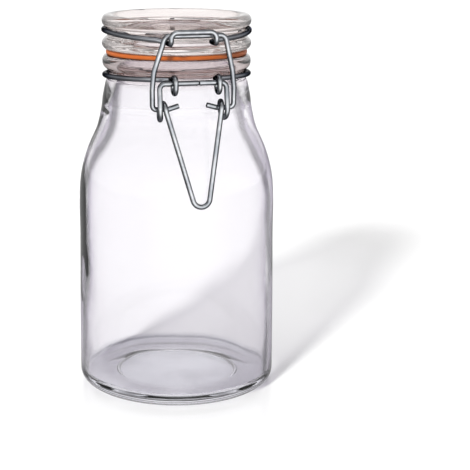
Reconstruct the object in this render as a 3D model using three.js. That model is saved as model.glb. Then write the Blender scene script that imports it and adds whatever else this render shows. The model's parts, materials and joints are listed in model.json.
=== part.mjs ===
// Clip top jar: a glass jar and lid with a rubber seal, shut by a bent wire clip.
// Millimetres, +Z up. The jar stands on z = 0 about the Z axis and the clip faces -Y.

import * as THREE from 'three';

// Round resolution
const TURN_SEGMENTS = 60;
const WIRE_SIDES = 8;
const ARC_STEP = THREE.MathUtils.degToRad(26);
const RING_STEP = THREE.MathUtils.degToRad(10);

// Jar
const BODY_R = 47.2;
const FOOT_R = 47.9;
const WALL = 2.6;
const FLOOR_Z = 5.2;
const HEEL = 6;
const CORNER = 2.8;
const STAND_R = 42;
const PUSH_UP_R = 30;
const PUSH_UP = 1.3;
const BODY_TOP = 74;
const SHOULDER_TOP_Z = 104;
const SHOULDER_TOP_R = 46.3;
const SHOULDER_Z = 116;
const SHOULDER_R = 43.1;
const SHOULDER_FOOT_Z = 127;
const SHOULDER_FOOT_R = 38.3;
const NECK_FOOT_Z = 136;
const NECK_FOOT_R = 36.1;
const NECK_BULGE_Z = 142;
const NECK_BULGE_R = 35.3;
const NECK_Z = 150.2;
const NECK_R = 32.7;
const RIM_BASE_Z = 154.9;
const RIM_R = 35.3;
const RIM_TOP = 161.6;
const MOUTH_R = 28.4;

// Seal
const SEAL_R = 33.5;
const SEAL_BORE_R = 27;
const SEAL_THICK = 1.8;
const GAP = 0.3;

// Lid
const LID_R = 35.4;
const LID_TOP = 180.4;
const FLANGE_H = 5.8;
const GROOVE_R = 32.8;
const GROOVE_TOP = 174.6;
const RECESS_R = 29.5;
const RECESS_DEPTH = 5.6;
const PLUG_R = 26.2;
const PLUG_TIP_R = 25.2;
const PLUG_DEPTH = 4.6;
const HOLLOW_R = 21;
const HOLLOW_TOP = 168.6;

// Wire
const WIRE_R = 1.2;
const LOOP_R = 2.7;

// Lid wire
const HOOP_R = 34.5;
const HOOP_Z = 173.2;
const HOOP_DIP = 2.4;
const CATCH_X = -2.7;
const CATCH_HALF = 10.4;
const CATCH_Z = 170.3;
const BRIDGE_Y = -43.1;
const BRIDGE_Z = 175.5;

// Rear hinge
const HINGE_Y = 40.2;
const HINGE_Z = 157;
const HINGE_BAR_HALF = 12.5;
const HINGE_LEG_X = 7;

// Neck wire
const RING_R = 34.3;
const RING_Z = 152.2;
const RING_RISE = 1.3;
const EYE_X = -0.5;
const EYE_HALF = 10.2;
const EYE_DROP = 1.7;

// Lever, turning in the neck wire's eyes
const PIVOT_Y = -39.3;
const PIVOT_Z = 152.5;
const LEVER_X = -2.1;
const LEVER_HALF = 15.5;
const BUTT_X = 0.6;
const BUTT_GAP = 0.4;
const COIL_R = 3.7;
const COIL_X = -2.4;
const COIL_HALF = 15.6;
const COIL_PITCH = 2.8;
const COIL_Y = -38.6;
const COIL_Z = 140.1;
const TIP_X = 0.6;
const TIP_Y = -50.6;
const TIP_Z = 83;
const TIP_BEND = 4;

// Bail, turning in the lever's coils
const BAIL_X = -1.8;
const BAIL_END_Y = -38.6;
const BAIL_END_Z = 141;
const BAIL_END_HALF = 6.5;
const BAIL_END_RISE = 1.4;
const BAIL_BEND_HALF = 11.3;
const BAIL_CORNER_HALF = 18.9;
const BAIL_WIDE_HALF = 19;
const BAIL_WIDE_Z = 150;
const BAIL_KINK_HALF = 18.2;
const BAIL_KINK_Z = 157.8;
const BAIL_TOP_X = -0.9;
const BAIL_TOP_HALF = 13.8;
const BAIL_TOP_Y = -38.7;
const BAIL_TOP_Z = 173.6;

const { PI, abs, acos, cos, sin, tan, ceil, max, sqrt } = Math;

const glass = { color: 0xe9e6ee, roughness: 0.05, metalness: 0, transparent: true, opacity: 0.35 };
const plated = { color: 0xb9bcc2, roughness: 0.25, metalness: 1 };
const rubber = { color: 0xcf6a2b, roughness: 0.6, metalness: 0 };

const jar = new THREE.Group();

function addPiece(name, geometry, finish) {
  const mesh = new THREE.Mesh(geometry, new THREE.MeshStandardMaterial(finish));
  mesh.name = name;
  jar.add(mesh);
}

// Points of an arc in the r-z half plane, from one angle to another in degrees.
function arc(r, z, radiusR, radiusZ, fromDeg, toDeg, pieces) {
  const points = [];
  for (let i = 0; i <= pieces; i += 1) {
    const angle = THREE.MathUtils.degToRad(fromDeg + ((toDeg - fromDeg) * i) / pieces);
    points.push(new THREE.Vector2(r + radiusR * cos(angle), z + radiusZ * sin(angle)));
  }
  return points;
}

// A smooth curve through a few points of the r-z half plane.
function smooth(points, pieces) {
  const curve = new THREE.SplineCurve(points.map(([r, z]) => new THREE.Vector2(r, z)));
  return curve.getPoints(pieces);
}

// A turned piece from its closed outline, whose ends lie on the axis or meet.
function turned(outline) {
  return new THREE.LatheGeometry(outline, TURN_SEGMENTS).rotateX(PI / 2);
}

// Jar body, from the push-up under the floor round the outside and back down the inside.
function jarOutline() {
  const rimMiddle = (RIM_BASE_Z + RIM_TOP) / 2;
  const rimHalf = (RIM_TOP - RIM_BASE_Z) / 2;
  const lip = 1.6;
  const inner = BODY_R - WALL;
  const point = (r, z) => new THREE.Vector2(r, z);
  return [
    point(0, PUSH_UP),
    point(PUSH_UP_R - 2, PUSH_UP),
    point(PUSH_UP_R, 0),
    point(STAND_R, 0),
    ...arc(FOOT_R - HEEL, HEEL, HEEL, HEEL, -90, 0, 4).slice(1),
    ...smooth([
      [BODY_R, BODY_TOP],
      [BODY_R, BODY_TOP + 17],
      [SHOULDER_TOP_R, SHOULDER_TOP_Z],
      [SHOULDER_R, SHOULDER_Z],
      [SHOULDER_FOOT_R, SHOULDER_FOOT_Z],
      [NECK_FOOT_R, NECK_FOOT_Z],
      [NECK_BULGE_R, NECK_BULGE_Z],
      [NECK_R + 1, NECK_Z - 1],
    ], 13),
    point(NECK_R, NECK_Z),
    point(NECK_R, RIM_BASE_Z),
    ...arc(RIM_R - 1.9, rimMiddle + 0.2, 1.9, rimHalf - 0.2, -70, 90, 5),
    ...arc(MOUTH_R + lip, RIM_TOP - lip, lip, lip, 90, 180, 2),
    ...smooth([
      [MOUTH_R, NECK_Z - 1],
      [NECK_BULGE_R - WALL, NECK_BULGE_Z - 3],
      [NECK_FOOT_R - WALL + 0.6, NECK_FOOT_Z - 6],
      [SHOULDER_R - WALL, SHOULDER_Z - 1],
      [SHOULDER_TOP_R - WALL, SHOULDER_TOP_Z],
      [inner, BODY_TOP + 17],
      [inner, BODY_TOP],
    ], 9),
    ...arc(FOOT_R - WALL - CORNER, FLOOR_Z + CORNER, CORNER, CORNER, 0, -90, 3),
    point(0, FLOOR_Z),
  ];
}

// Lid, from the hollow under it round the plug, flange, groove and rim to the recess on top.
function lidOutline() {
  const flangeZ = RIM_TOP + SEAL_THICK + 2 * GAP;
  const flangeTop = flangeZ + FLANGE_H;
  const flangeHalf = FLANGE_H / 2;
  const rimHalf = (LID_TOP - GROOVE_TOP) / 2;
  const rimInner = (LID_R + RECESS_R) / 2;
  const floor = LID_TOP - RECESS_DEPTH;
  const point = (r, z) => new THREE.Vector2(r, z);
  return [
    point(0, HOLLOW_TOP),
    point(HOLLOW_R - 5, HOLLOW_TOP),
    point(HOLLOW_R, flangeZ),
    point(HOLLOW_R + 0.8, flangeZ - PLUG_DEPTH),
    point(PLUG_TIP_R, flangeZ - PLUG_DEPTH),
    point(PLUG_R, flangeZ - PLUG_DEPTH + 1),
    point(PLUG_R, flangeZ),
    ...arc(LID_R - flangeHalf, flangeZ + flangeHalf, flangeHalf, flangeHalf, -80, 75, 5),
    point(GROOVE_R, flangeTop + 0.2),
    point(GROOVE_R, GROOVE_TOP),
    ...arc(LID_R - 2.4, LID_TOP - rimHalf, 2.4, rimHalf, -70, 60, 5),
    point(rimInner, LID_TOP),
    point(RECESS_R, LID_TOP - 0.9),
    point(RECESS_R - 2.2, floor + 0.8),
    point(RECESS_R - 5, floor),
    point(0, floor),
  ];
}

function sealOutline() {
  const low = RIM_TOP + GAP;
  const high = low + SEAL_THICK;
  const edge = 0.5;
  const corners = [
    [SEAL_BORE_R, low],
    [SEAL_R - edge, low],
    [SEAL_R, low + edge],
    [SEAL_R, high - edge],
    [SEAL_R - edge, high],
    [SEAL_BORE_R, high],
    [SEAL_BORE_R, low],
  ];
  return corners.map(([r, z]) => new THREE.Vector2(r, z));
}

// A wire's centre line through its own points, one extrusion step from each to the next.
class WirePath extends THREE.Curve {
  constructor(points) {
    super();
    this.points = points;
  }

  getPoint(t, target = new THREE.Vector3()) {
    const last = this.points.length - 1;
    const place = THREE.MathUtils.clamp(t, 0, 1) * last;
    const index = Math.min(Math.floor(place), last - 1);
    return target.lerpVectors(this.points[index], this.points[index + 1], place - index);
  }

  getUtoTmapping(u) {
    return u;
  }
}

function wire(points) {
  const section = new THREE.Shape();
  for (let i = 0; i < WIRE_SIDES; i += 1) {
    const angle = (2 * PI * i) / WIRE_SIDES;
    const x = WIRE_R * cos(angle);
    const y = WIRE_R * sin(angle);
    if (i === 0) section.moveTo(x, y);
    else section.lineTo(x, y);
  }
  section.closePath();
  const options = { steps: points.length - 1, extrudePath: new WirePath(points), bevelEnabled: false };
  return new THREE.ExtrudeGeometry(section, options);
}

// A bent line through corners, each [x, y, z] or [x, y, z, bend radius].
function bent(corners) {
  const at = corners.map(([x, y, z]) => new THREE.Vector3(x, y, z));
  const points = [at[0]];
  for (let i = 1; i < at.length - 1; i += 1) {
    const radius = corners[i][3] ?? 0;
    const back = at[i - 1].clone().sub(at[i]).normalize();
    const ahead = at[i + 1].clone().sub(at[i]).normalize();
    const turn = PI - acos(THREE.MathUtils.clamp(back.dot(ahead), -1, 1));
    if (radius === 0 || turn < 0.02) {
      points.push(at[i]);
    } else {
      const reach = radius * tan(turn / 2);
      const toCentre = back.clone().add(ahead).normalize();
      const centre = at[i].clone().addScaledVector(toCentre, radius / cos(turn / 2));
      const start = at[i].clone().addScaledVector(back, reach).sub(centre);
      const axis = start.clone().cross(at[i].clone().addScaledVector(ahead, reach).sub(centre)).normalize();
      const pieces = max(1, ceil(turn / ARC_STEP));
      for (let k = 0; k <= pieces; k += 1) {
        points.push(start.clone().applyAxisAngle(axis, (turn * k) / pieces).add(centre));
      }
    }
  }
  points.push(at.at(-1));
  return points;
}

// Points of a level ring, by angle from the front towards side (-1 left, 1 right), with its own height.
function ring(side, radius, fromAngle, toAngle, height) {
  const pieces = ceil(abs(toAngle - fromAngle) / RING_STEP);
  const points = [];
  for (let i = 0; i <= pieces; i += 1) {
    const angle = fromAngle + ((toAngle - fromAngle) * i) / pieces;
    points.push(new THREE.Vector3(side * radius * sin(angle), -radius * cos(angle), height(angle)));
  }
  return points;
}

// A part turn round an axis along X, by angle from straight ahead (-Y) up, moving along X by shift.
function loop(x, y, z, radius, fromDeg, toDeg, shift = 0) {
  const span = THREE.MathUtils.degToRad(toDeg - fromDeg);
  const pieces = ceil(abs(span) / ARC_STEP);
  const points = [];
  for (let i = 0; i <= pieces; i += 1) {
    const angle = THREE.MathUtils.degToRad(fromDeg) + (span * i) / pieces;
    const along = x + (shift * i) / pieces;
    points.push(new THREE.Vector3(along, y - radius * cos(angle), z + radius * sin(angle)));
  }
  return points;
}

function asCorner(point, radius = 0) {
  return [point.x, point.y, point.z, radius];
}

function ringAngle(radius, x) {
  return Math.asin(abs(x) / radius);
}

// Lid wire: an eye on the hinge bar, up behind the lid, round its groove, out to the catch and back.
function lidWire() {
  const height = (angle) => HOOP_Z - HOOP_DIP * max(0, cos(angle)) ** 1.5;
  const half = (side) => {
    const hookX = CATCH_X + side * CATCH_HALF;
    const legX = side * HINGE_LEG_X;
    const legY = HINGE_Y - LOOP_R;
    const eye = loop(legX, HINGE_Y, HINGE_Z, LOOP_R, 105, 360);
    const joinAngle = PI - ringAngle(HOOP_R, 14);
    const leaveAngle = ringAngle(HOOP_R, hookX) + THREE.MathUtils.degToRad(7);
    const hoop = ring(side, HOOP_R, joinAngle, leaveAngle, height);
    const hookY = -sqrt(HOOP_R ** 2 - hookX ** 2);
    return bent([
      ...eye.map((point) => asCorner(point)),
      [legX, legY, HOOP_Z, 3],
      asCorner(hoop[0], 6),
      ...hoop.slice(1).map((point) => asCorner(point)),
      [hookX, hookY, CATCH_Z, 1.8],
      [hookX, BRIDGE_Y, CATCH_Z, 2],
      [hookX, BRIDGE_Y, BRIDGE_Z, 3],
      [CATCH_X, BRIDGE_Y, BRIDGE_Z],
    ]);
  };
  return [...half(-1).slice(0, -1), ...half(1).reverse().slice(1)];
}

// Neck wire: a front eye, round the neck to the hinge bar behind, and the same on the other side.
function neckWire() {
  const height = (angle) => RING_Z + RING_RISE * cos(angle);
  const half = (side) => {
    const eyeX = EYE_X + side * EYE_HALF;
    const low = PIVOT_Z - EYE_DROP;
    const leaveAngle = PI - ringAngle(RING_R, HINGE_BAR_HALF);
    const joinAngle = ringAngle(RING_R, eyeX) + THREE.MathUtils.degToRad(7);
    const band = ring(side, RING_R, joinAngle, leaveAngle, height);
    const turnIn = [eyeX, -sqrt(RING_R ** 2 - eyeX ** 2), height(ringAngle(RING_R, eyeX)), 2];
    return bent([
      [eyeX, PIVOT_Y + LOOP_R, PIVOT_Z - 0.2],
      ...loop(eyeX, PIVOT_Y, low, LOOP_R, -180, 0).map((point) => asCorner(point)),
      ...loop(eyeX, PIVOT_Y, PIVOT_Z, LOOP_R, 0, 100).map((point) => asCorner(point)),
      turnIn,
      ...band.map((point, i) => asCorner(point, i === band.length - 1 ? 2 : 0)),
      [side * HINGE_BAR_HALF, HINGE_Y, HINGE_Z, 2.5],
      [0, HINGE_Y, HINGE_Z],
    ]);
  };
  return [...half(-1).slice(0, -1), ...half(1).reverse().slice(1)];
}

// Lever: two halves of the pivot bar that butt, a crank and a coil on each side, and two arms to the tip.
function leverWire() {
  const half = (side) => {
    const crankX = LEVER_X + side * LEVER_HALF;
    const coilX = COIL_X + side * COIL_HALF;
    const buttX = BUTT_X + (side * BUTT_GAP) / 2;
    const coil = loop(coilX, COIL_Y, COIL_Z, COIL_R, 0, -360, -side * COIL_PITCH);
    return [
      [buttX, PIVOT_Y, PIVOT_Z],
      [crankX, PIVOT_Y, PIVOT_Z, 2.6],
      [coilX, COIL_Y - COIL_R, COIL_Z + 1.6, 4],
      ...coil.map((point) => asCorner(point)),
    ];
  };
  return bent([...half(-1), [TIP_X, TIP_Y, TIP_Z, TIP_BEND], ...half(1).reverse()]);
}

// Bail: each end lifts a little inside its coil, turns up outside it, and the legs lean in to the top bar.
function bailWire() {
  const half = (side) => [
    [LEVER_X + side * BAIL_END_HALF, BAIL_END_Y, BAIL_END_Z + BAIL_END_RISE],
    [LEVER_X + side * BAIL_BEND_HALF, BAIL_END_Y, BAIL_END_Z, 4],
    [BAIL_X + side * BAIL_CORNER_HALF, BAIL_END_Y, BAIL_END_Z, 2],
    [BAIL_X + side * BAIL_WIDE_HALF, BAIL_END_Y, BAIL_WIDE_Z, 12],
    [BAIL_X + side * BAIL_KINK_HALF, BAIL_END_Y, BAIL_KINK_Z, 8],
    [BAIL_TOP_X + side * BAIL_TOP_HALF, BAIL_TOP_Y, BAIL_TOP_Z, 3],
  ];
  return bent([...half(-1), ...half(1).reverse()]);
}

addPiece('jar_body', turned(jarOutline()), glass);
addPiece('lid_glass', turned(lidOutline()), glass);
addPiece('gasket', turned(sealOutline()), rubber);
addPiece('lid_wire', wire(lidWire()), plated);
addPiece('neck_wire', wire(neckWire()), plated);
addPiece('lever', wire(leverWire()), plated);
addPiece('bail', wire(bailWire()), plated);

export default jar;
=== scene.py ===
"""Clip top jar: clear glass jar and lid, orange rubber seal and a plated wire clip, in a pale studio."""

import json
import math

import bmesh
import bpy
from bpy.props import FloatProperty, FloatVectorProperty, IntProperty, PointerProperty
from bpy.types import Operator, Panel, PropertyGroup
from mathutils import Matrix, Vector, noise


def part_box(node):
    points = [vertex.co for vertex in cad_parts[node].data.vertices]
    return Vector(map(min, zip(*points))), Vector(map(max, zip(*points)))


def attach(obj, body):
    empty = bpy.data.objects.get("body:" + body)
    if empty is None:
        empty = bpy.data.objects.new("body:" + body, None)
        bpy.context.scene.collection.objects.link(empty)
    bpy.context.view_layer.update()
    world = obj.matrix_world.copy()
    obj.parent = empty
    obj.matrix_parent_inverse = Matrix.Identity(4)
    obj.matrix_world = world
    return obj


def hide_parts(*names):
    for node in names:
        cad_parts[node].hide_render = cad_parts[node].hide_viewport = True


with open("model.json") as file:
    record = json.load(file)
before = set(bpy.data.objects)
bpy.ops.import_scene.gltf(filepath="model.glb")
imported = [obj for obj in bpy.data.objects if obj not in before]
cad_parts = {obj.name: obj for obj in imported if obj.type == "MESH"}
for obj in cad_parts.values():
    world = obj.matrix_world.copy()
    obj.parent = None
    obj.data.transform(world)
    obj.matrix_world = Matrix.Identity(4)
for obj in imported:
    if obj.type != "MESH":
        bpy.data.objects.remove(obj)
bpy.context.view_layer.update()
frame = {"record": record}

bl_info = {
    "name": "Clip top jar",
    "version": (1, 0, 0),
    "blender": (4, 5, 0),
    "location": "3D View > Sidebar > Clip jar",
    "description": "Builds the glass, seal and wire clip of a clip top jar, and a studio round it",
    "category": "Object",
}

JOINTS = {joint["name"]: joint for joint in frame["record"]["behaviour"]["joints"]}
PIVOT = Vector(JOINTS["lever_pivot"]["pos_m"])
BAIL_END = Vector(JOINTS["bail_pivot"]["pos_m"])
HINGE = Vector(JOINTS["lid_hinge"]["pos_m"])

# Jar, in metres, with the part of the floor's corner that gets a painted dark line of shade, in degrees
FLOOR_Z = 0.0052
HEEL = 0.006
CORNER = 0.0028
CORNER_SHADE_SPAN = (30, 60)
STAND_R = 0.042
PUSH_UP_R = 0.030
PUSH_UP = 0.0013
PUSH_UP_BLEND = 0.003
FOOT_TOP = 0.02
BODY_LOW = 0.045
BODY_TOP = 0.074
SHOULDER_START = 0.017
SHOULDER_TOP = (0.0463, 0.104)
SHOULDER = (0.0431, 0.116)
SHOULDER_FOOT = (0.0383, 0.127)
NECK_FOOT = (0.0361, 0.136)
NECK_BULGE = (0.0353, 0.142)
NECK = (0.0327, 0.1502)
RIM_BASE = 0.1549
RIM_R = 0.0353
RIM_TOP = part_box("jar_body")[1][2]
RIM_ROUND = 0.0019
RIM_LIFT = 0.0002
MOUTH_R = 0.0284
LIP = 0.0016
INNER_REACH = 0.0012

# Seal
SEAL_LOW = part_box("gasket")[0][2]
SEAL_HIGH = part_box("gasket")[1][2]
SEAL_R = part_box("gasket")[1][0]
SEAL_BORE_R = 0.027
SEAL_EDGE = 0.0005
MOULD_LINE = 0.00008

# Lid
LID_R = 0.0354
LID_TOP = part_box("lid_glass")[1][2]
FLANGE_Z = SEAL_HIGH + 0.0003
FLANGE_H = 0.0058
GROOVE_R = 0.0328
GROOVE_TOP = 0.1746
GROOVE_ROUND = 0.0009
LID_RIM_ROUND = 0.0024
RECESS_R = 0.0295
RECESS_DEPTH = 0.0056
PLUG_R = 0.0262
PLUG_TIP_R = 0.0252
PLUG_DEPTH = 0.0046
HOLLOW_R = 0.021
HOLLOW_TOP = 0.1686

# Wires
CUT_SOFTNESS = 0.22
SEAT_BLEND = 0.0009
EYE_R = 0.0027
HOOP_R = 0.0345
HOOP_Z = 0.1732
HOOP_DIP = 0.0024
HOOP_JOIN_X = 0.014
CATCH_X = -0.0027
CATCH_HALF = 0.0104
CATCH_Z = 0.1703
BRIDGE_Y = -0.0431
BRIDGE_Z = 0.1755
HINGE_BAR_HALF = 0.0125
HINGE_LEG_X = 0.007
RING_R = 0.0343
RING_Z = 0.1522
RING_RISE = 0.0013
EYE_X = -0.0005
EYE_HALF = 0.0102
EYE_DROP = 0.0017
LEVER_X = -0.0021
LEVER_HALF = 0.0155
BUTT_X = 0.0006
BUTT_GAP = 0.0004
COIL_R = 0.0037
COIL_X = -0.0024
COIL_HALF = 0.0156
COIL_PITCH = 0.0028
COIL_DROP = 0.0009
TIP = Vector((0.0006, -0.0506, 0.083))
TIP_BEND = 0.004
BAIL_X = BAIL_END.x
BAIL_END_HALF = 0.0065
BAIL_END_RISE = 0.0014
BAIL_BEND_HALF = 0.0113
BAIL_CORNER_HALF = 0.0189
BAIL_WIDE = (0.019, 0.150)
BAIL_KINK = (0.0182, 0.1578)
BAIL_TOP_X = -0.0009
BAIL_TOP_HALF = 0.0138
BAIL_TOP_Y = -0.0387
BAIL_TOP_Z = 0.1736

# Resolution
TURN_STEPS = 144
ARC_STEP = math.radians(10)
RING_STEP = math.radians(3)
HOOK_LEAD = math.radians(7)

# How much of its face colour a surface keeps, by how far it is seen along itself. This is painted shade:
# it darkens glass and wire towards their outlines, where dark surroundings would be reflected, and
# leaves a bright stripe down the middle of the wire
GLASS_EDGE_SHADE = (
    (0.0, 1.0), (0.35, 0.98), (0.5, 0.95), (0.6, 0.88),
    (0.68, 0.72), (0.8, 0.34), (0.9, 0.12), (1.0, 0.02),
)
WIRE_EDGE_SHADE = ((0.0, 1.0), (0.06, 0.84), (0.16, 0.44), (0.35, 0.2), (0.7, 0.2), (1.0, 0.4))

# Powers of the painted edge shade on the glass in red, green and blue
WALL_HUE = (1.0, 1.12, 0.86)
THICK_HUE = (1.0, 1.14, 1.2)

# The painted dark line where the inner wall shows through the outer wall, by the same measure, and how
# far the neck shifts it
PAINTED_WALL_LINE = ((0.6, 0.0), (0.68, 0.85), (0.75, 0.85), (0.82, 0.0))
NECK_LINE_SHIFT = 0.22

# How often the inner wall wanders, round and up the jar
SLOW_RIPPLE = (20, 14)
QUICK_RIPPLE = (60, 34)
QUICK_SHIFT = 7
QUICK_SHARE = 0.25

# Studio
MIDDLE = (0, 0, 0.1)
FLOOR_HALF = 40
FLOOR_GAP = 0.0002
FLOOR_ROUGHNESS = 0.16
SOFTBOX_PLACE = (-0.2, 0.1, 1.6)
SOFTBOX_SIZE = (1.2, 1.2)
SOFTBOX_POWER = 5
WALL_BRIGHT = 1.14
CEILING_BRIGHT = 0.42
LEFT_BRIGHT = 0.7
BELOW_BRIGHT = 0.38
SENSOR_MM = 36

# Reflections before light is cut off; light through the glass has twice as many
GLASS_BOUNCES = 8


class GlassSettings(PropertyGroup):
    """Sizes and finish of the jar and lid."""

    body_radius: FloatProperty(
        name="Body radius", description="Outside radius of the jar's straight body",
        default=0.0472, unit="LENGTH",
    )
    foot_radius: FloatProperty(
        name="Foot radius", description="Outside radius just above the heel",
        default=0.0479, unit="LENGTH",
    )
    wall: FloatProperty(
        name="Wall", description="Thickness of the glass wall",
        default=0.0026, unit="LENGTH",
    )
    ripple: FloatProperty(
        name="Ripple", description="How far the inner wall wanders from round",
        default=0.0008, unit="LENGTH",
    )
    tint: FloatVectorProperty(
        name="Tint", description="Colour that the glass lets through",
        default=(0.94, 0.931, 0.95), subtype="COLOR",
    )
    base_tint: FloatVectorProperty(
        name="Base tint", description="Colour of the thick glass in the jar's base",
        default=(0.92, 0.935, 0.965), subtype="COLOR",
    )
    base_shade: FloatVectorProperty(
        name="Base shade", description="Colour where the base is thickest",
        default=(0.67, 0.66, 0.71), subtype="COLOR",
    )
    rim_tint: FloatVectorProperty(
        name="Rim tint", description="Colour of the thick glass in the jar's rim",
        default=(0.63, 0.55, 0.55), subtype="COLOR",
    )
    lid_tint: FloatVectorProperty(
        name="Lid tint", description="Colour of the thick glass in the lid",
        default=(0.92, 0.865, 0.85), subtype="COLOR",
    )
    # Colour of the seams in the glass, and of the painted dark line of shade along the floor's corner
    seam_and_corner_shade_tint: FloatVectorProperty(
        name="Edge tint", description="Colour of seams and corners in the glass",
        default=(0.035, 0.034, 0.06), subtype="COLOR",
    )
    base_light: FloatVectorProperty(
        name="Base light", description="Share of light that the base lets through",
        default=(0.98, 0.98, 0.985), subtype="COLOR",
    )
    # Painted shade: blue-grey streaks on the outer wall just above the heel
    heel_shade_tint: FloatVectorProperty(
        name="Heel tint", description="Colour of the streaks just above the heel",
        default=(0.4, 0.43, 0.5), subtype="COLOR",
    )
    # Painted shade: the dark line where the inner wall shows through the outer wall
    painted_line_tint: FloatVectorProperty(
        name="Line tint", description="Colour of the line where the inner wall shows",
        default=(0.005, 0.005, 0.01), subtype="COLOR",
    )
    shade: FloatVectorProperty(
        name="Shade", description="Colour of light that a wall lets on to the floor",
        default=(0.815, 0.81, 0.82), subtype="COLOR",
    )
    ior: FloatProperty(name="IOR", description="Refraction of the glass", default=1.5)


class SealSettings(PropertyGroup):
    """Finish of the rubber seal."""

    colour: FloatVectorProperty(
        name="Colour", description="Colour of the rubber",
        default=(0.35, 0.074, 0.009), subtype="COLOR",
    )
    worn_colour: FloatVectorProperty(
        name="Worn colour", description="Colour where the rubber has bloomed",
        default=(0.38, 0.095, 0.016), subtype="COLOR",
    )


class WireSettings(PropertyGroup):
    """Gauge and finish of the clip's wire."""

    gauge: FloatProperty(
        name="Gauge", description="Diameter of the wire",
        default=0.0024, unit="LENGTH",
    )
    sides: IntProperty(name="Sides", description="Facets round the wire", default=20, min=8)
    colour: FloatVectorProperty(
        name="Colour", description="Colour of the bright plating",
        default=(0.95, 0.97, 1.0), subtype="COLOR",
    )
    dull_colour: FloatVectorProperty(
        name="Dull colour", description="Colour where the plating has dulled",
        default=(0.56, 0.59, 0.64), subtype="COLOR",
    )
    # Painted shade: the dark colour of the wire towards its outlines, standing in for reflected dark
    # surroundings
    edge_shade_colour: FloatVectorProperty(
        name="Edge colour", description="Colour of the plating seen along the wire's edge",
        default=(0.022, 0.025, 0.034), subtype="COLOR",
    )
    # Painted shade: the dark edge colour for wire lying in a groove
    groove_edge_shade: FloatVectorProperty(
        name="Seated edge", description="Edge colour of wire in a groove",
        default=(0.09, 0.095, 0.11), subtype="COLOR",
    )
    # Painted shade: the darker colour of wire lying in the grooves of the glass
    groove_shade_colour: FloatVectorProperty(
        name="Seated colour", description="Colour of the plating in the grooves of the glass",
        default=(0.7, 0.72, 0.77), subtype="COLOR",
    )
    seat_radius: FloatProperty(
        name="Seat radius", description="Wire nearer the jar's axis than this lies in a groove",
        default=0.0366, unit="LENGTH",
    )


class StageSettings(PropertyGroup):
    """Camera and studio."""

    azimuth: FloatProperty(
        name="Azimuth", description="Camera's turn round the jar",
        default=math.radians(-14), subtype="ANGLE",
    )
    distance: FloatProperty(
        name="Distance", description="Camera's level distance from the jar's axis",
        default=0.6312, unit="LENGTH",
    )
    height: FloatProperty(
        name="Height", description="Camera above the floor",
        default=0.2316, unit="LENGTH",
    )
    pitch: FloatProperty(
        name="Pitch", description="Camera's look down",
        default=math.radians(14.15), subtype="ANGLE",
    )
    lens: FloatProperty(name="Lens", description="Focal length in millimetres", default=101.3)
    shift: FloatProperty(
        name="Shift", description="Camera's sideways shift for the framing", default=0.1245,
    )
    key_azimuth: FloatProperty(
        name="Key azimuth", description="Key light's turn round the jar",
        default=math.radians(-40), subtype="ANGLE",
    )
    key_elevation: FloatProperty(
        name="Key elevation", description="Key light's height as an angle",
        default=math.radians(28), subtype="ANGLE",
    )
    key_softness: FloatProperty(
        name="Key softness", description="Key light's apparent size",
        default=math.radians(8), subtype="ANGLE",
    )
    key_strength: FloatProperty(name="Key strength", description="Key light in W/m2", default=4.7)
    floor_colour: FloatVectorProperty(
        name="Floor", description="Colour of the floor",
        default=(0.88, 0.88, 0.88), subtype="COLOR",
    )


class ClipJarSettings(PropertyGroup):
    """All that a user would change."""

    glass: PointerProperty(type=GlassSettings)
    seal: PointerProperty(type=SealSettings)
    wire: PointerProperty(type=WireSettings)
    stage: PointerProperty(type=StageSettings)


# Outlines in the r-z half plane

def arc(centre, radii, start, end, pieces):
    """Points of an arc, by angle in degrees from straight outwards."""
    points = []
    for i in range(pieces + 1):
        angle = math.radians(start + (end - start) * i / pieces)
        across = centre[0] + radii[0] * math.cos(angle)
        points.append((across, centre[1] + radii[1] * math.sin(angle)))
    return points


def smooth(points, pieces):
    """A Catmull-Rom curve through points, with the given pieces between each two."""
    ends = [points[0], *points, points[-1]]
    curve = []
    for i in range(1, len(ends) - 2):
        before, start, end, after = (Vector(ends[k]) for k in range(i - 1, i + 3))
        for k in range(pieces):
            t = k / pieces
            even = 2 * start + (end - before) * t
            bend = (2 * before - 5 * start + 4 * end - after) * t ** 2
            close = (3 * start - before - 3 * end + after) * t ** 3
            curve.append(tuple((even + bend + close) / 2))
    curve.append(tuple(points[-1]))
    return curve


def jar_outside(glass):
    """From the middle of the push-up round the heel and up to the top of the rim."""
    foot = glass.foot_radius
    body = glass.body_radius
    rim_middle = (RIM_BASE + RIM_TOP) / 2 + RIM_LIFT
    rim_half = (RIM_TOP - RIM_BASE) / 2 - RIM_LIFT
    return [
        (0, PUSH_UP),
        (PUSH_UP_R - 0.004, PUSH_UP),
        *arc((PUSH_UP_R - 0.002, PUSH_UP / 2), (0.0009, PUSH_UP / 2), 90, 20, 3),
        (PUSH_UP_R, 0.0001),
        (PUSH_UP_R + 0.0006, 0),
        (STAND_R - 0.002, 0),
        *arc((foot - HEEL, HEEL), (HEEL, HEEL), -90, 0, 12),
        *smooth([
            (foot - 0.0001, FOOT_TOP),
            (foot - 0.0003, BODY_LOW),
            (body, BODY_TOP),
            (body, BODY_TOP + SHOULDER_START),
            SHOULDER_TOP,
            SHOULDER,
            SHOULDER_FOOT,
            NECK_FOOT,
            NECK_BULGE,
            (NECK[0] + 0.001, NECK[1] - 0.001),
            NECK,
        ], 8),
        (NECK[0], RIM_BASE - 0.0006),
        *arc((RIM_R - RIM_ROUND, rim_middle), (RIM_ROUND, rim_half), -70, 90, 14),
    ]


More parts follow.
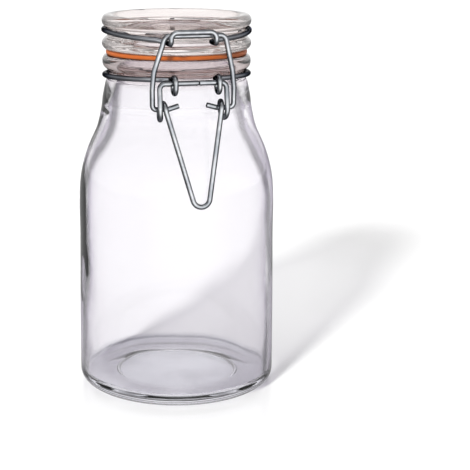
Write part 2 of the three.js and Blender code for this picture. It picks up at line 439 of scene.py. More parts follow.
def jar_inside(glass):
    """From the rim's inner lip down the inner wall to the middle of the floor."""
    inner = glass.body_radius - glass.wall
    foot = glass.foot_radius - glass.wall
    return [
        *arc((MOUTH_R + LIP, RIM_TOP - LIP), (LIP, LIP), 90, 180, 8),
        *smooth([
            (MOUTH_R, NECK[1] + 0.003),
            (MOUTH_R, NECK[1] - 0.001),
            (NECK_BULGE[0] - glass.wall, NECK_BULGE[1] - 0.003),
            (NECK_FOOT[0] - glass.wall + 0.0006, NECK_FOOT[1] - 0.006),
            (SHOULDER[0] - glass.wall, SHOULDER[1] - 0.001),
            (SHOULDER_TOP[0] - glass.wall, SHOULDER_TOP[1]),
            (inner, BODY_TOP + SHOULDER_START),
            (inner, BODY_TOP),
            ((inner + foot) / 2, BODY_LOW),
            (foot, FOOT_TOP),
        ], 8),
        *arc((foot - CORNER, FLOOR_Z + CORNER), (CORNER, CORNER), 0, -90, 10),
        (foot - CORNER - 0.012, FLOOR_Z - 0.0002),
        (0, FLOOR_Z - 0.0003),
    ]


def lid_outline():
    """From the hollow under the lid round the plug, flange, groove and rim to the recess on top."""
    flange_half = FLANGE_H / 2
    rim_half = (LID_TOP - GROOVE_TOP) / 2
    rim_inner = (LID_R + RECESS_R) / 2
    recess = LID_TOP - RECESS_DEPTH
    plug_end = FLANGE_Z - PLUG_DEPTH
    groove = (GROOVE_ROUND, GROOVE_ROUND)
    return [
        (0, HOLLOW_TOP),
        (HOLLOW_R - 0.008, HOLLOW_TOP),
        *smooth([
            (HOLLOW_R - 0.005, HOLLOW_TOP - 0.0003),
            (HOLLOW_R - 0.001, FLANGE_Z + 0.002),
            (HOLLOW_R, FLANGE_Z),
        ], 5),
        *arc((HOLLOW_R + 0.0018, plug_end + 0.0008), (0.001, 0.0008), 180, 270, 4),
        *arc((PLUG_TIP_R - 0.0002, plug_end + 0.001), (0.0012, 0.001), -90, 0, 4),
        (PLUG_R, FLANGE_Z - 0.0006),
        (PLUG_R + 0.0005, FLANGE_Z),
        *arc((LID_R - flange_half, FLANGE_Z + flange_half), (flange_half, flange_half), -86, 75, 16),
        *arc((GROOVE_R + GROOVE_ROUND, FLANGE_Z + FLANGE_H + 0.001), groove, 250, 180, 4),
        *arc((GROOVE_R + GROOVE_ROUND, GROOVE_TOP - 0.0006), groove, 180, 110, 4),
        *arc((LID_R - LID_RIM_ROUND, LID_TOP - rim_half), (LID_RIM_ROUND, rim_half), -66, 62, 16),
        *smooth([
            (rim_inner, LID_TOP),
            (RECESS_R + 0.0008, LID_TOP - 0.0003),
            (RECESS_R - 0.0002, LID_TOP - 0.0014),
            (RECESS_R - 0.0016, recess + 0.0012),
            (RECESS_R - 0.004, recess),
        ], 5),
        (0, recess),
    ]


def seal_outline():
    """A flat ring with soft edges and a faint moulding line round its outer edge."""
    middle = (SEAL_LOW + SEAL_HIGH) / 2
    outer = SEAL_R - SEAL_EDGE
    inner = SEAL_BORE_R + SEAL_EDGE
    edge = (SEAL_EDGE, SEAL_EDGE)
    return [
        *arc((outer, SEAL_LOW + SEAL_EDGE), edge, -90, 0, 6),
        (SEAL_R, middle - 2 * MOULD_LINE),
        (SEAL_R + MOULD_LINE, middle - MOULD_LINE),
        (SEAL_R + MOULD_LINE, middle + MOULD_LINE),
        (SEAL_R, middle + 2 * MOULD_LINE),
        *arc((outer, SEAL_HIGH - SEAL_EDGE), edge, 0, 90, 6),
        *arc((inner, SEAL_HIGH - SEAL_EDGE), edge, 90, 180, 6),
        *arc((inner, SEAL_LOW + SEAL_EDGE), edge, 180, 270, 6),
    ]


# Meshes

def finish_mesh(bm, name):
    """Makes a smooth-shaded object of a bmesh."""
    mesh = bpy.data.meshes.new(name)
    bm.to_mesh(mesh)
    bm.free()
    mesh.polygons.foreach_set("use_smooth", [True] * len(mesh.polygons))
    piece = bpy.data.objects.new(name, mesh)
    bpy.context.scene.collection.objects.link(piece)
    return piece


def outline_edges(bm, outline, closed=False):
    """An outline drawn as joined edges in the X-Z plane."""
    verts = [bm.verts.new((r, 0, z)) for r, z in outline]
    pairs = list(zip(verts, verts[1:]))
    if closed:
        pairs.append((verts[-1], verts[0]))
    return verts + [bm.edges.new(pair) for pair in pairs]


def turn(bm, geom):
    """Spins an outline right round the Z axis into a closed skin."""
    bmesh.ops.spin(
        bm, geom=geom, cent=(0, 0, 0), axis=(0, 0, 1), dvec=(0, 0, 0),
        angle=2 * math.pi, steps=TURN_STEPS, use_merge=True, use_duplicate=False,
    )
    bmesh.ops.remove_doubles(bm, verts=bm.verts, dist=1e-6)
    bmesh.ops.dissolve_degenerate(bm, dist=1e-7, edges=bm.edges)
    bmesh.ops.recalc_face_normals(bm, faces=bm.faces)


def is_inner(place, inside):
    """Whether a point lies on the inner outline, between the floor's corner and the neck."""
    if not HEEL * 2 < place.z < NECK[1]:
        return False
    radius = math.hypot(place.x, place.y)
    nearest = min(inside, key=lambda point: abs(point[1] - place.z))
    return abs(nearest[0] - radius) < INNER_REACH


def wandering(place, ripple, shift=0):
    """Smooth noise at a place, by how often it wanders round and up the jar."""
    level, rise = ripple
    return noise.noise(Vector((place.x * level, place.y * level, place.z * rise + shift)))


def ripple_wall(wall_verts, depth):
    """Lets a blown wall wander a little from true, slowly round and up it."""
    for vert in wall_verts:
        radial = Vector((vert.co.x, vert.co.y, 0))
        slow = wandering(vert.co, SLOW_RIPPLE)
        quick = wandering(vert.co, QUICK_RIPPLE, QUICK_SHIFT)
        vert.co += radial.normalized() * depth * (slow + QUICK_SHARE * quick)


def mark_outer(bm, inner_verts, marked):
    """Marks the jar's outer wall between the heel and the neck."""
    inner = set(inner_verts)
    for vert in bm.verts:
        if vert not in inner and HEEL < vert.co.z < NECK[1]:
            vert[marked] = 1.0


def mark_corner_shade(bm, glass, marked):
    """Marks the bend between the jar's floor and its inner wall, where a dark line is painted as shade.
    """
    centre = Vector((glass.foot_radius - glass.wall - CORNER, FLOOR_Z + CORNER))
    first, last = CORNER_SHADE_SPAN
    for vert in bm.verts:
        offset = Vector((math.hypot(vert.co.x, vert.co.y), vert.co.z)) - centre
        angle = math.degrees(math.atan2(-offset.y, offset.x))
        if abs(offset.length - CORNER) < 0.0001 and first < angle < last:
            vert[marked] = 1.0


def frames_along(points):
    """A matrix at each point of a line, its Z axis along the line and turning as little as it can."""
    tangents = []
    for i in range(len(points)):
        ahead = points[min(i + 1, len(points) - 1)]
        behind = points[max(i - 1, 0)]
        tangents.append((ahead - behind).normalized())
    turn_to = Vector((0, 0, 1)).rotation_difference(tangents[0])
    frames = [Matrix.Translation(points[0]) @ turn_to.to_matrix().to_4x4()]
    for i in range(1, len(points)):
        turn_to = tangents[i - 1].rotation_difference(tangents[i]) @ turn_to
        frames.append(Matrix.Translation(points[i]) @ turn_to.to_matrix().to_4x4())
    return frames


def sweep_wire(points, wire):
    """A round wire along a line, with soft cut ends and its own along-and-round attribute."""
    bm = bmesh.new()
    drawn = bm.verts.layers.float_vector.new("drawn")
    frames = frames_along(points)
    radius = wire.gauge / 2
    length = 0.0

    def mark(ring, frame_here):
        for vert in ring:
            around = frame_here.inverted() @ vert.co / radius
            vert[drawn] = (length, around.x, around.y)

    ring = bmesh.ops.create_circle(
        bm, cap_ends=False, radius=radius, segments=wire.sides, matrix=frames[0],
    )["verts"]
    first = list(ring)
    edges = list({edge for vert in ring for edge in vert.link_edges})
    mark(ring, frames[0])
    for i in range(1, len(frames)):
        made = bmesh.ops.extrude_edge_only(bm, edges=edges)["geom"]
        ring = [item for item in made if isinstance(item, bmesh.types.BMVert)]
        bmesh.ops.transform(bm, matrix=frames[i] @ frames[i - 1].inverted(), verts=ring)
        fresh = set(ring)
        edges = [e for e in made if isinstance(e, bmesh.types.BMEdge) and set(e.verts) <= fresh]
        length += (points[i] - points[i - 1]).length
        mark(ring, frames[i])
    caps = [bmesh.ops.contextual_create(bm, geom=end)["faces"][0] for end in (first, ring)]
    rims = [edge for cap in caps for edge in cap.edges]
    bmesh.ops.bevel(
        bm, geom=rims, offset=radius * CUT_SOFTNESS, offset_type="OFFSET", segments=3,
        profile=0.5, affect="EDGES", material=-1, clamp_overlap=True,
    )
    bmesh.ops.recalc_face_normals(bm, faces=bm.faces)
    return bm


# Wire lines

def bent(corners):
    """A line through corners, each (point, bend radius), with round bends."""
    points = [corners[0][0]]
    for i in range(1, len(corners) - 1):
        corner, radius = corners[i]
        back = (corners[i - 1][0] - corner).normalized()
        ahead = (corners[i + 1][0] - corner).normalized()
        turn_angle = math.pi - back.angle(ahead)
        if radius == 0 or turn_angle < 0.01:
            points.append(corner)
            continue
        reach = radius * math.tan(turn_angle / 2)
        centre = corner + (back + ahead).normalized() * (radius / math.cos(turn_angle / 2))
        start = corner + back * reach - centre
        axis = start.cross(corner + ahead * reach - centre).normalized()
        pieces = max(2, math.ceil(turn_angle / ARC_STEP))
        for k in range(pieces + 1):
            points.append(Matrix.Rotation(turn_angle * k / pieces, 3, axis) @ start + centre)
    points.append(corners[-1][0])
    return points


def ring_line(side, radius, start, end, height):
    """Corners of a ring round the jar, by angle from the front towards one side, at its own height."""
    pieces = math.ceil(abs(end - start) / RING_STEP)
    corners = []
    for i in range(pieces + 1):
        angle = start + (end - start) * i / pieces
        place = Vector((side * radius * math.sin(angle), -radius * math.cos(angle), height(angle)))
        corners.append((place, 0))
    return corners


def loop_line(centre, radius, start, end, shift=0.0):
    """Corners of a turn round an axis along X, by angle in degrees from straight ahead up."""
    span = math.radians(end - start)
    pieces = math.ceil(abs(span) / ARC_STEP)
    corners = []
    for i in range(pieces + 1):
        angle = math.radians(start) + span * i / pieces
        offset = Vector((shift * i / pieces, -radius * math.cos(angle), radius * math.sin(angle)))
        corners.append((centre + offset, 0))
    return corners


def ring_angle(radius, x):
    """The angle from the front at which a ring reaches x."""
    return math.asin(abs(x) / radius)


def joined(left, right):
    """One line from two halves that meet at their last point."""
    return left[:-1] + right[::-1]


def lid_wire_half(side):
    """From the hinge eye up behind the lid, round its groove and out to the middle of the catch."""

    def height(angle):
        return HOOP_Z - HOOP_DIP * max(0.0, math.cos(angle)) ** 1.5

    hook_x = CATCH_X + side * CATCH_HALF
    eye_centre = Vector((side * HINGE_LEG_X, HINGE.y, HINGE.z))
    leg_top = Vector((side * HINGE_LEG_X, HINGE.y - EYE_R, HOOP_Z))
    hook_angle = ring_angle(HOOP_R, hook_x)
    join_angle = math.pi - ring_angle(HOOP_R, HOOP_JOIN_X)
    hoop = ring_line(side, HOOP_R, join_angle, hook_angle + HOOK_LEAD, height)
    return bent([
        *loop_line(eye_centre, EYE_R, 105, 360),
        (leg_top, 0.003),
        (hoop[0][0], 0.006),
        *hoop[1:],
        (Vector((hook_x, -HOOP_R * math.cos(hook_angle), CATCH_Z)), 0.0018),
        (Vector((hook_x, BRIDGE_Y, CATCH_Z)), 0.002),
        (Vector((hook_x, BRIDGE_Y, BRIDGE_Z)), 0.003),
        (Vector((CATCH_X, BRIDGE_Y, BRIDGE_Z)), 0),
    ])


def neck_wire_half(side):
    """From the cut end of the front eye round it, round the neck and to the middle of the hinge bar."""

    def height(angle):
        return RING_Z + RING_RISE * math.cos(angle)

    eye_x = EYE_X + side * EYE_HALF
    high = Vector((eye_x, PIVOT.y, PIVOT.z))
    low = high - Vector((0, 0, EYE_DROP))
    eye_angle = ring_angle(RING_R, eye_x)
    turn_in = Vector((eye_x, -RING_R * math.cos(eye_angle), height(eye_angle)))
    bar_angle = math.pi - ring_angle(RING_R, HINGE_BAR_HALF)
    band = ring_line(side, RING_R, eye_angle + HOOK_LEAD, bar_angle, height)
    return bent([
        (high + Vector((0, EYE_R, -0.0002)), 0),
        *loop_line(low, EYE_R, -180, 0),
        *loop_line(high, EYE_R, 0, 100),
        (turn_in, 0.002),
        *band[:-1],
        (band[-1][0], 0.002),
        (Vector((side * HINGE_BAR_HALF, HINGE.y, HINGE.z)), 0.0025),
        (Vector((0, HINGE.y, HINGE.z)), 0),
    ])


def lever_half(side):
    """Corners from the butted end of the pivot bar through the crank and the coil."""
    crank_x = LEVER_X + side * LEVER_HALF
    coil_centre = Vector((COIL_X + side * COIL_HALF, BAIL_END.y, BAIL_END.z - COIL_DROP))
    return [
        (Vector((BUTT_X + side * BUTT_GAP / 2, PIVOT.y, PIVOT.z)), 0),
        (Vector((crank_x, PIVOT.y, PIVOT.z)), 0.0026),
        (coil_centre + Vector((0, -COIL_R, 0.0016)), 0.004),
        *loop_line(coil_centre, COIL_R, 0, -360, -side * COIL_PITCH),
    ]


def bail_half(side):
    """Corners from the cut end through the coil and up the leg to the end of the top bar."""
    return [
        (Vector((LEVER_X + side * BAIL_END_HALF, BAIL_END.y, BAIL_END.z + BAIL_END_RISE)), 0),
        (Vector((LEVER_X + side * BAIL_BEND_HALF, BAIL_END.y, BAIL_END.z)), 0.004),
        (Vector((BAIL_X + side * BAIL_CORNER_HALF, BAIL_END.y, BAIL_END.z)), 0.002),
        (Vector((BAIL_X + side * BAIL_WIDE[0], BAIL_END.y, BAIL_WIDE[1])), 0.012),
        (Vector((BAIL_X + side * BAIL_KINK[0], BAIL_END.y, BAIL_KINK[1])), 0.008),
        (Vector((BAIL_TOP_X + side * BAIL_TOP_HALF, BAIL_TOP_Y, BAIL_TOP_Z)), 0.003),
    ]


# Materials

def handling_marks():
    """A shared group: slow patches and fine specks, as a value from 0 to 1."""
    group = bpy.data.node_groups.get("handling_marks")
    if group:
        return group
    group = bpy.data.node_groups.new("handling_marks", "ShaderNodeTree")
    group.interface.new_socket("Vector", in_out="INPUT", socket_type="NodeSocketVector")
    patch_size = group.interface.new_socket("Patch scale", in_out="INPUT", socket_type="NodeSocketFloat")
    patch_size.default_value = 60
    speck_size = group.interface.new_socket("Speck scale", in_out="INPUT", socket_type="NodeSocketFloat")
    speck_size.default_value = 900
    group.interface.new_socket("Patches", in_out="OUTPUT", socket_type="NodeSocketFloat")
    group.interface.new_socket("Specks", in_out="OUTPUT", socket_type="NodeSocketFloat")
    nodes, links = group.nodes, group.links
    entry = nodes.new("NodeGroupInput")
    leave = nodes.new("NodeGroupOutput")
    patches = nodes.new("ShaderNodeTexNoise")
    patches.inputs["Detail"].default_value = 3
    patches.inputs["Roughness"].default_value = 0.55
    specks = nodes.new("ShaderNodeTexNoise")
    specks.inputs["Detail"].default_value = 2
    for texture, size, out in ((patches, "Patch scale", "Patches"), (specks, "Speck scale", "Specks")):
        links.new(entry.outputs["Vector"], texture.inputs["Vector"])
        links.new(entry.outputs[size], texture.inputs["Scale"])
        links.new(texture.outputs["Fac"], leave.inputs[out])
    return group


def new_material(name):
    """An empty material with a Principled shader, and its nodes and links."""
    material = bpy.data.materials.new(name)
    material.use_nodes = True
    nodes, links = material.node_tree.nodes, material.node_tree.links
    return material, nodes, links, nodes["Principled BSDF"]


def marks_in(nodes, links, vector, patch_scale, speck_scale):
    """Places the shared marks in a material with its own scales."""
    marks = nodes.new("ShaderNodeGroup")
    marks.node_tree = handling_marks()
    marks.inputs["Patch scale"].default_value = patch_scale
    marks.inputs["Speck scale"].default_value = speck_scale
    links.new(vector, marks.inputs["Vector"])
    return marks


def ranged(nodes, links, value, low, high, start=0.35, end=0.65):
    """A value mapped from its usual span to low and high."""
    span = nodes.new("ShaderNodeMapRange")
    span.inputs["From Min"].default_value = start
    span.inputs["From Max"].default_value = end
    span.inputs["To Min"].default_value = low
    span.inputs["To Max"].default_value = high
    links.new(value, span.inputs["Value"])
    return span.outputs["Result"]


def bump_in(nodes, links, height, strength, distance, shader):
    """A bump on a shader's normal."""
    bump = nodes.new("ShaderNodeBump")
    bump.inputs["Strength"].default_value = strength
    bump.inputs["Distance"].default_value = distance
    links.new(height, bump.inputs["Height"])
    links.new(bump.outputs["Normal"], shader.inputs["Normal"])


def ramp_in(nodes, links, value, stops):
    """A colour ramp over a value, from stops of (place, colour)."""
    ramp = nodes.new("ShaderNodeValToRGB")
    elements = ramp.color_ramp.elements
    while len(elements) < len(stops):
        elements.new(1.0)
    for element, (place, colour) in zip(elements, stops):
        element.position = place
        element.color = (*colour, 1)
    links.new(value, ramp.inputs["Fac"])
    return ramp.outputs["Color"]


def mixed(nodes, links, factor, first, second, blend="MIX"):
    """A blend of two colours, each a socket or a fixed colour, by a socket or a fixed value."""
    mix = nodes.new("ShaderNodeMix")
    mix.data_type = "RGBA"
    mix.blend_type = blend
    for name, source in (("Factor", factor), ("A", first), ("B", second)):
        if isinstance(source, bpy.types.NodeSocket):
            links.new(source, mix.inputs[name])
        elif name == "Factor":
            mix.inputs[name].default_value = source
        else:
            mix.inputs[name].default_value = (*source, 1)
    return mix.outputs["Result"]


def facing_in(nodes):
    """How far a surface is turned from the eye."""
    return nodes.new("ShaderNodeLayerWeight").outputs["Facing"]


def kept_along(nodes, links, seen, fade, hue=(1, 1, 1)):
    """How much of its face colour a surface keeps as it turns from the eye, by a power per channel: a
    ramp of painted shade by facing.
    """
    stops = [(place, [kept ** power for power in hue]) for place, kept in fade]
    return ramp_in(nodes, links, seen, stops)


def from_axis(nodes, links, place):
    """How far a place lies from the jar's axis."""
    level = nodes.new("ShaderNodeVectorMath")
    level.operation = "MULTIPLY"
    level.inputs[1].default_value = (1, 1, 0)
    links.new(place, level.inputs[0])
    length = nodes.new("ShaderNodeVectorMath")
    length.operation = "LENGTH"
    links.new(level.outputs["Vector"], length.inputs[0])
    return length.outputs["Value"]


def product(nodes, links, first, second):
    """Two values multiplied."""
    multiply = nodes.new("ShaderNodeMath")
    multiply.operation = "MULTIPLY"
    links.new(first, multiply.inputs[0])
    links.new(second, multiply.inputs[1])
    return multiply.outputs["Value"]


def total(nodes, links, *values):
    """Values added up."""
    result = values[0]
    for value in values[1:]:
        add = nodes.new("ShaderNodeMath")
        add.operation = "ADD"
        links.new(result, add.inputs[0])
        links.new(value, add.inputs[1])
        result = add.outputs["Value"]
    return result


def attribute(nodes, name):
    """A value that the mesh carries."""
    carried = nodes.new("ShaderNodeAttribute")
    carried.attribute_name = name
    return carried.outputs["Fac"]


def stretched_noise(nodes, links, vector, scale, detail):
    """Noise drawn out by its own scale along each axis."""
    stretch = nodes.new("ShaderNodeMapping")
    stretch.inputs["Scale"].default_value = scale
    links.new(vector, stretch.inputs["Vector"])
    texture = nodes.new("ShaderNodeTexNoise")
    texture.inputs["Scale"].default_value = 1
    texture.inputs["Detail"].default_value = detail
    links.new(stretch.outputs["Vector"], texture.inputs["Vector"])
    return texture.outputs["Fac"]


def let_light_through(nodes, links, shader, shade):
    """Lets shadow and diffuse rays straight through, so that light reaches the floor under the glass."""
    path = nodes.new("ShaderNodeLightPath")
    either = nodes.new("ShaderNodeMath")
    either.operation = "MAXIMUM"
    links.new(path.outputs["Is Shadow Ray"], either.inputs[0])
    links.new(path.outputs["Is Diffuse Ray"], either.inputs[1])
    through = nodes.new("ShaderNodeBsdfTransparent")
    links.new(shade, through.inputs["Color"])
    choose = nodes.new("ShaderNodeMixShader")
    links.new(either.outputs["Value"], choose.inputs["Fac"])
    links.new(shader.outputs["BSDF"], choose.inputs[1])
    links.new(through.outputs["BSDF"], choose.inputs[2])
    links.new(choose.outputs["Shader"], nodes["Material Output"].inputs["Surface"])


def patchy(nodes, links, place, scale, detail, low, high):
    """Stretched noise mapped from its usual span to low and high."""
    return ranged(nodes, links, stretched_noise(nodes, links, place, scale, detail), low, high)


def glass_face(nodes, links, glass, place, height, top, bottom, top_tint):
    """Colour of the glass seen straight on: tinted where it is thick, with streaks and seams, painted
    shade in streaks on the outer wall just above the heel, and a painted dark line of shade along the
    floor's corner.
    """
    inner, outer = PUSH_UP_R - PUSH_UP_BLEND, PUSH_UP_R + PUSH_UP_BLEND
    thick = ranged(nodes, links, from_axis(nodes, links, place), 0.0, 1.0, inner, outer)
    pools = patchy(nodes, links, place, (40, 40, 40), 3, -0.45, 0.45)
    base = mixed(nodes, links, total(nodes, links, thick, pools), glass.base_tint, glass.base_shade)
    face = mixed(nodes, links, top, glass.tint, top_tint)
    face = mixed(nodes, links, bottom, face, base)
    # Painted shade in streaks on the outer wall just above the heel
    heel = ranged(nodes, links, height, 0.8, 0.0, HEEL * 0.6, HEEL * 1.3)
    ribbons = patchy(nodes, links, place, (40, 40, 500), 3, 0.2, 1.0)
    heel = product(nodes, links, product(nodes, links, heel, ribbons), attribute(nodes, "outer"))
    face = mixed(nodes, links, heel, face, glass.heel_shade_tint)
    seams = patchy(nodes, links, place, (24, 24, 420), 3, 0.0, 0.06)
    face = mixed(nodes, links, product(nodes, links, seams, top), face, glass.seam_and_corner_shade_tint)
    # Painted dark line of shade along the floor's corner
    painted_corner_line = ranged(nodes, links, attribute(nodes, "corner"), 0.0, 0.6, 0.0, 1.0)
    return mixed(nodes, links, painted_corner_line, face, glass.seam_and_corner_shade_tint)


def painted_inner_line(nodes, links, place, height, seen):
    """How strongly a painted dark line of shade shows where the inner wall is seen through the outer
    wall.
    """
    neck = ranged(nodes, links, height, 0.0, NECK_LINE_SHIFT, SHOULDER[1] - 0.02, NECK[1] - 0.02)
    line = kept_along(nodes, links, total(nodes, links, seen, neck), PAINTED_WALL_LINE)
    breaks = patchy(nodes, links, place, (50, 50, 20), 2, 0.75, 1.0)
    return product(nodes, links, product(nodes, links, line, breaks), attribute(nodes, "outer"))


def clear_glass(glass, name, swirl_scale, top_tint):
    """Clear glass with painted shade that darkens it where it is seen along itself, a painted dark line
    where the inner wall shows, and a slow swirl in its surface.
    """
    material, nodes, links, shader = new_material(name)
    place = nodes.new("ShaderNodeTexCoord").outputs["Object"]
    split = nodes.new("ShaderNodeSeparateXYZ")
    links.new(place, split.inputs["Vector"])
    height = split.outputs["Z"]
    top = ranged(nodes, links, height, 0.0, 1.0, NECK[1] - 0.003, RIM_BASE)
    bottom = ranged(nodes, links, height, 1.0, 0.0, FLOOR_Z + 0.0005, FLOOR_Z + CORNER)
    # Towards the bottom of the jar the painted edge shade is mostly lifted
    low = ranged(nodes, links, height, 0.92, 0.0, HEEL * 0.5, HEEL * 1.2)
    # Noise and a rise on the shoulder shift where the painted edge shade and the painted line fall
    wander = patchy(nodes, links, place, (16, 16, 24), 2, -0.05, 0.05)
    shoulder = ranged(nodes, links, height, 0.0, 0.05, BODY_TOP + SHOULDER_START, SHOULDER[1])
    seen = total(nodes, links, facing_in(nodes), wander, shoulder)
    # Painted edge shade, with one hue on the walls and another on the thick rim and lid
    wall_kept = kept_along(nodes, links, seen, GLASS_EDGE_SHADE, WALL_HUE)
    thick_kept = kept_along(nodes, links, seen, GLASS_EDGE_SHADE, THICK_HUE)
    kept = mixed(nodes, links, low, mixed(nodes, links, top, wall_kept, thick_kept), (1, 1, 1))
    face = glass_face(nodes, links, glass, place, height, top, bottom, top_tint)
    # The painted edge shade darkens the face colour
    faded = mixed(nodes, links, 1.0, face, kept, "MULTIPLY")
    # A painted dark line of shade where the inner wall shows
    line = painted_inner_line(nodes, links, place, height, seen)
    links.new(mixed(nodes, links, line, faded, glass.painted_line_tint), shader.inputs["Base Color"])
    shader.inputs["Metallic"].default_value = 0
    shader.inputs["IOR"].default_value = glass.ior
    shader.inputs["Transmission Weight"].default_value = 1
    marks = marks_in(nodes, links, place, swirl_scale, 420)
    links.new(ranged(nodes, links, marks.outputs["Specks"], 0.0, 0.025), shader.inputs["Roughness"])
    bump_in(nodes, links, marks.outputs["Patches"], 0.12, 0.0012, shader)
    shade = mixed(nodes, links, 1.0, glass.shade, kept, "MULTIPLY")
    let_light_through(nodes, links, shader, mixed(nodes, links, bottom, shade, glass.base_light))
    return material


def plated_wire(wire):
    """Drawn steel wire with bright plating: fine streaks along it, dull patches and specks, with painted
    shade towards its outlines and where it lies in the grooves.
    """
    existing = bpy.data.materials.get("plated_wire_finish")
    if existing:
        return existing
    material, nodes, links, shader = new_material("plated_wire_finish")
    shader.inputs["Metallic"].default_value = 1
    place = nodes.new("ShaderNodeTexCoord").outputs["Object"]
    marks = marks_in(nodes, links, place, 160, 1500)
    drawn = nodes.new("ShaderNodeAttribute")
    drawn.attribute_name = "drawn"
    streaks = stretched_noise(nodes, links, drawn.outputs["Vector"], (60, 7, 7), 3)
    dulled = ranged(nodes, links, marks.outputs["Patches"], 0.0, 0.9)
    plating = mixed(nodes, links, dulled, wire.colour, wire.dull_colour)
    # Wire lying in the glass's grooves gets painted shade
    radius = from_axis(nodes, links, place)
    seat = wire.seat_radius
    seated = ranged(nodes, links, radius, 0.9, 0.0, seat - SEAT_BLEND, seat)
    face = mixed(nodes, links, seated, plating, wire.groove_shade_colour)
    # Painted shade: the wire darkens towards its outlines, leaving a bright stripe down its middle
    kept = kept_along(nodes, links, facing_in(nodes), WIRE_EDGE_SHADE)
    edge = mixed(nodes, links, seated, wire.edge_shade_colour, wire.groove_edge_shade)
    links.new(mixed(nodes, links, kept, edge, face), shader.inputs["Base Color"])
    # The grazing reflection is tinted with the same dark painted edge colour
    shader.inputs["Specular Tint"].default_value = (*wire.edge_shade_colour, 1)
    links.new(ranged(nodes, links, streaks, 0.12, 0.3), shader.inputs["Roughness"])
    bump_in(nodes, links, streaks, 0.15, 0.00006, shader)
    return material


def orange_rubber(seal):
    """Moulded rubber, matt, with a faint bloom and a fine grain."""
    material, nodes, links, shader = new_material("seal_rubber_finish")
    place = nodes.new("ShaderNodeTexCoord").outputs["Object"]
    marks = marks_in(nodes, links, place, 120, 1400)
    bloom = ranged(nodes, links, marks.outputs["Patches"], 0.0, 0.7)
    links.new(mixed(nodes, links, bloom, seal.colour, seal.worn_colour), shader.inputs["Base Color"])
    links.new(ranged(nodes, links, marks.outputs["Specks"], 0.48, 0.66), shader.inputs["Roughness"])
    bump_in(nodes, links, marks.outputs["Specks"], 0.25, 0.0001, shader)
    return material


def dress(piece, material, node, body):
    """Gives a piece its finish and its body, and hides the solid that it stands for."""
    piece.data.materials.append(material)
    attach(piece, body)
    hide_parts(node)


class CLIPJAR_OT_jar(Operator):
    """Builds the hollow glass jar"""

    bl_idname = "clipjar.jar"
    bl_label = "Glass jar"

    def execute(self, context):
        glass = context.scene.clip_jar.glass
        bm = bmesh.new()
        inside = jar_inside(glass)
        turn(bm, outline_edges(bm, jar_outside(glass) + inside))
        for name in ("outer", "corner"):
            bm.verts.layers.float.new(name)
        marks = bm.verts.layers.float
        wall_verts = [vert for vert in bm.verts if is_inner(vert.co, inside)]
        mark_outer(bm, wall_verts, marks["outer"])
        # Marks the floor's corner for a painted dark line of shade
        mark_corner_shade(bm, glass, marks["corner"])
        ripple_wall(wall_verts, glass.ripple)
        piece = finish_mesh(bm, "jar_glass")
        finish = clear_glass(glass, "jar_glass_finish", 26, glass.rim_tint)
        dress(piece, finish, "jar_body", "jar")
        return {"FINISHED"}


class CLIPJAR_OT_lid(Operator):
    """Builds the moulded glass lid"""

    bl_idname = "clipjar.lid"
    bl_label = "Glass lid"

    def execute(self, context):
        glass = context.scene.clip_jar.glass
        bm = bmesh.new()
        turn(bm, outline_edges(bm, lid_outline()))
        piece = finish_mesh(bm, "lid_moulding")
        finish = clear_glass(glass, "lid_glass_finish", 45, glass.lid_tint)
        dress(piece, finish, "lid_glass", "lid")
        return {"FINISHED"}


class CLIPJAR_OT_seal(Operator):
    """Builds the flat rubber seal"""

    bl_idname = "clipjar.seal"
    bl_label = "Rubber seal"

    def execute(self, context):
        bm = bmesh.new()
        turn(bm, outline_edges(bm, seal_outline(), closed=True))
        piece = finish_mesh(bm, "rubber_seal")
        dress(piece, orange_rubber(context.scene.clip_jar.seal), "gasket", "lid")
        return {"FINISHED"}


class CLIPJAR_OT_rings(Operator):
    """Bends the wires round the lid and the neck"""

    bl_idname = "clipjar.rings"
    bl_label = "Lid and neck wires"

    def execute(self, context):
        wire = context.scene.clip_jar.wire
        lines = {
            "lid_wire": (joined(lid_wire_half(-1), lid_wire_half(1)), "lid"),
            "neck_wire": (joined(neck_wire_half(-1), neck_wire_half(1)), "jar"),
        }
        for node, (line, body) in lines.items():
            piece = finish_mesh(sweep_wire(line, wire), node + "_bent")
            dress(piece, plated_wire(wire), node, body)
        return {"FINISHED"}


class CLIPJAR_OT_clip(Operator):
    """Bends the lever and the bail of the clip"""

    bl_idname = "clipjar.clip"
    bl_label = "Lever and bail"

    def execute(self, context):
        wire = context.scene.clip_jar.wire
        lines = {
            "lever": bent([*lever_half(-1), (TIP, TIP_BEND), *lever_half(1)[::-1]]),
            "bail": bent([*bail_half(-1), *bail_half(1)[::-1]]),
        }
        for node, line in lines.items():
            piece = finish_mesh(sweep_wire(line, wire), node + "_bent")
            dress(piece, plated_wire(wire), node, node)
        return {"FINISHED"}


def softbox(name, place, aim, size, power):
    """A square lamp aimed at a point."""
    data = bpy.data.lights.new(name, "AREA")
    data.shape = "RECTANGLE"
    data.size, data.size_y = size
    data.energy = power
    lamp = bpy.data.objects.new(name, data)
    lamp.location = place
    lamp.rotation_euler = (Vector(aim) - Vector(place)).to_track_quat("-Z", "Y").to_euler()
    bpy.context.scene.collection.objects.link(lamp)


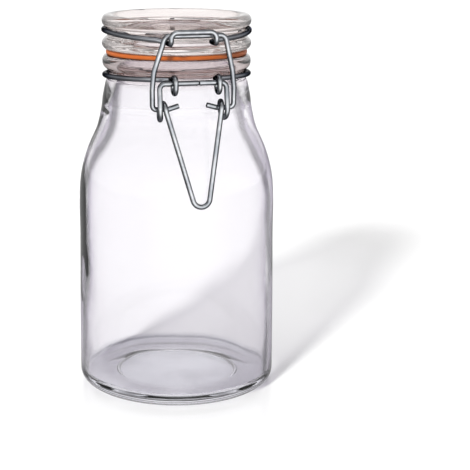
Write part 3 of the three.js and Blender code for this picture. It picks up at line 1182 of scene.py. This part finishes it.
class CLIPJAR_OT_stage(Operator):
    """Lays the floor, hangs the lamps and sets the camera"""

    bl_idname = "clipjar.stage"
    bl_label = "Studio"

    def execute(self, context):
        scene = context.scene
        stage = scene.clip_jar.stage
        self.lay_floor(stage)
        self.hang_lamps(stage)
        self.set_camera(scene, stage)
        scene.view_settings.view_transform = "Standard"
        scene.cycles.max_bounces = 2 * GLASS_BOUNCES
        scene.cycles.glossy_bounces = GLASS_BOUNCES
        scene.cycles.transmission_bounces = 2 * GLASS_BOUNCES
        scene.cycles.transparent_max_bounces = 2 * GLASS_BOUNCES
        return {"FINISHED"}

    def lay_floor(self, stage):
        """A wide floor a hair below the jar, which reflections don't see."""
        bm = bmesh.new()
        bmesh.ops.create_grid(bm, x_segments=1, y_segments=1, size=FLOOR_HALF)
        bmesh.ops.translate(bm, vec=(0, 0, -FLOOR_GAP), verts=bm.verts)
        floor = finish_mesh(bm, "studio_floor")
        material, _, _, shader = new_material("studio_floor_finish")
        shader.inputs["Base Color"].default_value = (*stage.floor_colour, 1)
        shader.inputs["Roughness"].default_value = FLOOR_ROUGHNESS
        floor.data.materials.append(material)
        floor.visible_glossy = False

    def hang_lamps(self, stage):
        """A low key light from one side and a faint softbox above."""
        data = bpy.data.lights.new("key_light", "SUN")
        data.energy = stage.key_strength
        data.angle = stage.key_softness
        key = bpy.data.objects.new("key_light", data)
        key.rotation_euler = (math.pi / 2 - stage.key_elevation, 0, stage.key_azimuth)
        key.visible_glossy = False
        key.visible_transmission = False
        bpy.context.scene.collection.objects.link(key)
        softbox("top_softbox", SOFTBOX_PLACE, MIDDLE, SOFTBOX_SIZE, SOFTBOX_POWER)
        self.paint_room()

    def paint_room(self):
        """A pale room, dark below the horizon but for a card in front, where only reflections look."""
        world = bpy.data.worlds.new("studio_room")
        world.use_nodes = True
        nodes, links = world.node_tree.nodes, world.node_tree.links
        split = nodes.new("ShaderNodeSeparateXYZ")
        links.new(nodes.new("ShaderNodeTexCoord").outputs["Generated"], split.inputs["Vector"])
        across, along, up = split.outputs["X"], split.outputs["Y"], split.outputs["Z"]
        wall_to_ceiling = ranged(nodes, links, up, WALL_BRIGHT, CEILING_BRIGHT, 0.2, 0.65)
        left_to_right = ranged(nodes, links, across, LEFT_BRIGHT, 1.0, -0.8, 0.0)
        front_card = ranged(nodes, links, along, 1.0, BELOW_BRIGHT, -0.9, -0.6)
        above = ranged(nodes, links, up, 0.0, 1.0, -0.06, -0.01)
        lit = nodes.new("ShaderNodeMath")
        lit.operation = "MAXIMUM"
        links.new(front_card, lit.inputs[0])
        links.new(above, lit.inputs[1])
        room = product(nodes, links, wall_to_ceiling, left_to_right)
        room = product(nodes, links, room, lit.outputs["Value"])
        links.new(room, nodes["Background"].inputs["Strength"])
        nodes["Background"].inputs["Color"].default_value = (1, 1, 1, 1)
        bpy.context.scene.world = world

    def set_camera(self, scene, stage):
        """The photo's camera, to one side of the clip and looking down a little."""
        data = bpy.data.cameras.new("photo_camera")
        data.lens = stage.lens
        data.sensor_width = SENSOR_MM
        data.shift_x = stage.shift
        camera = bpy.data.objects.new("photo_camera", data)
        camera.location = (
            math.sin(stage.azimuth) * stage.distance,
            -math.cos(stage.azimuth) * stage.distance,
            stage.height,
        )
        camera.rotation_euler = (math.pi / 2 - stage.pitch, 0, stage.azimuth)
        scene.collection.objects.link(camera)
        scene.camera = camera


class CLIPJAR_PT_panel(Panel):
    """Lists the pieces of the jar and what a user would change"""

    bl_idname = "CLIPJAR_PT_panel"
    bl_label = "Clip top jar"
    bl_space_type = "VIEW_3D"
    bl_region_type = "UI"
    bl_category = "Clip jar"

    def draw(self, context):
        settings = context.scene.clip_jar
        for group in (settings.glass, settings.seal, settings.wire, settings.stage):
            box = self.layout.box()
            for name in group.bl_rna.properties.keys():
                if name not in {"rna_type", "name"}:
                    box.prop(group, name)
        for operator in OPERATORS:
            self.layout.operator(operator.bl_idname)


OPERATORS = (
    CLIPJAR_OT_jar,
    CLIPJAR_OT_lid,
    CLIPJAR_OT_seal,
    CLIPJAR_OT_rings,
    CLIPJAR_OT_clip,
    CLIPJAR_OT_stage,
)
CLASSES = (
    GlassSettings,
    SealSettings,
    WireSettings,
    StageSettings,
    ClipJarSettings,
    *OPERATORS,
    CLIPJAR_PT_panel,
)


def register():
    for cls in CLASSES:
        bpy.utils.register_class(cls)
    bpy.types.Scene.clip_jar = PointerProperty(type=ClipJarSettings)


def unregister():
    del bpy.types.Scene.clip_jar
    for cls in reversed(CLASSES):
        bpy.utils.unregister_class(cls)


def main():
    register()
    bpy.ops.clipjar.jar()
    bpy.ops.clipjar.lid()
    bpy.ops.clipjar.seal()
    bpy.ops.clipjar.rings()
    bpy.ops.clipjar.clip()
    bpy.ops.clipjar.stage()


if __name__ == "__main__":
    main()
